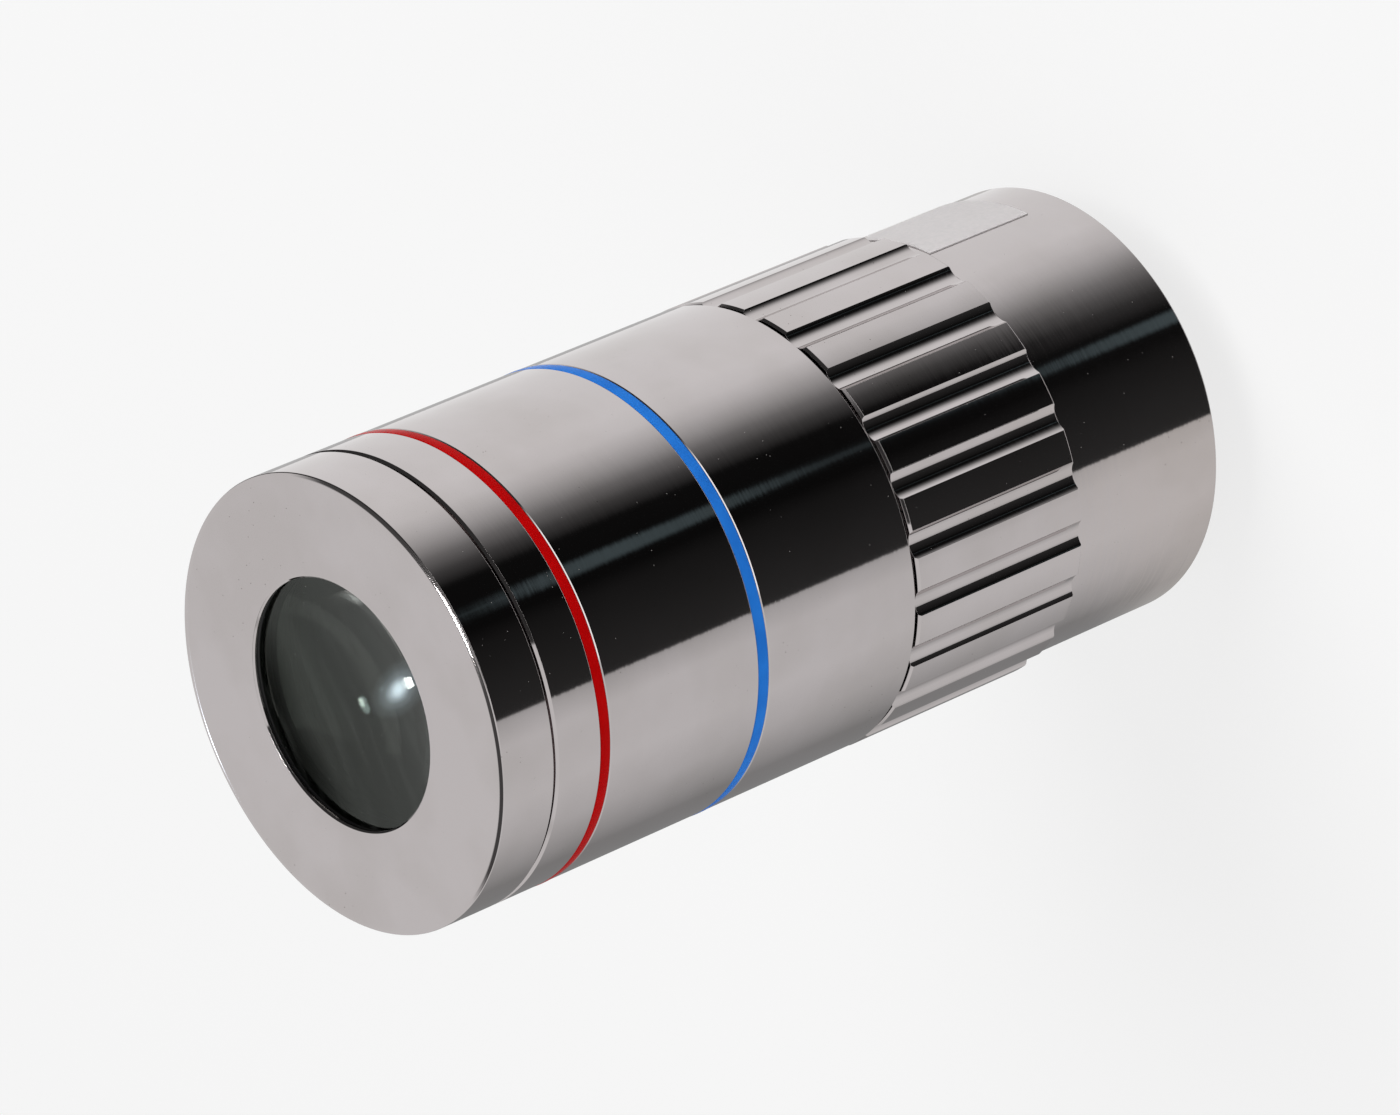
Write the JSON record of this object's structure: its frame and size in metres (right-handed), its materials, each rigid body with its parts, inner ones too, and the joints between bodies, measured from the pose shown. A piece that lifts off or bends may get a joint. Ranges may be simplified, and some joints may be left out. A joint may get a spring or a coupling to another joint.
{
  "type": "microscope objective",
  "caption": "Long-working-distance microscope objective: polished plated barrel with red and blue bands, fluted grip, recessed front lens and a threaded mounting stub.",
  "frame": {"origin": "centre of the mounting shoulder, on the optical axis", "axes": "+Z along the optical axis towards the front lens, so the objective stands on its threaded end; X and Y lie in the shoulder plane"},
  "size_m": [0.041, 0.041, 0.0898],
  "materials": {
    "nickel_plate": "polished",
    "red_enamel": "gloss",
    "blue_enamel": "gloss",
    "black_brass": "blackened",
    "black_aluminium": "matte",
    "crown_glass": "polished",
    "flint_glass": "polished"
  },
  "bodies": {
    "root": {"front_cap": "nickel_plate", "front_barrel": "nickel_plate", "grip_ring": "nickel_plate", "rear_sleeve": "nickel_plate", "mount_body": "nickel_plate", "red_band": "red_enamel", "blue_band": "blue_enamel", "lens_tube": "black_brass", "front_cell": "black_brass", "front_retaining_ring": "black_brass", "meniscus_cell": "black_brass", "first_doublet_cell": "black_brass", "triplet_cell": "black_brass", "second_doublet_cell": "black_brass", "parfocal_ring": "black_aluminium", "spacer_tube": "black_aluminium", "rear_cell": "black_aluminium", "aperture_stop": "black_aluminium", "rear_retaining_ring": "black_aluminium", "front_lens": "crown_glass", "meniscus_lens": "crown_glass", "first_doublet_crown": "crown_glass", "triplet_front_crown": "crown_glass", "triplet_rear_crown": "crown_glass", "second_doublet_crown": "crown_glass", "rear_doublet_crown": "crown_glass", "rear_meniscus": "crown_glass", "first_doublet_flint": "flint_glass", "triplet_flint": "flint_glass", "second_doublet_flint": "flint_glass", "rear_doublet_flint": "flint_glass"}
  },
  "joints": []
}
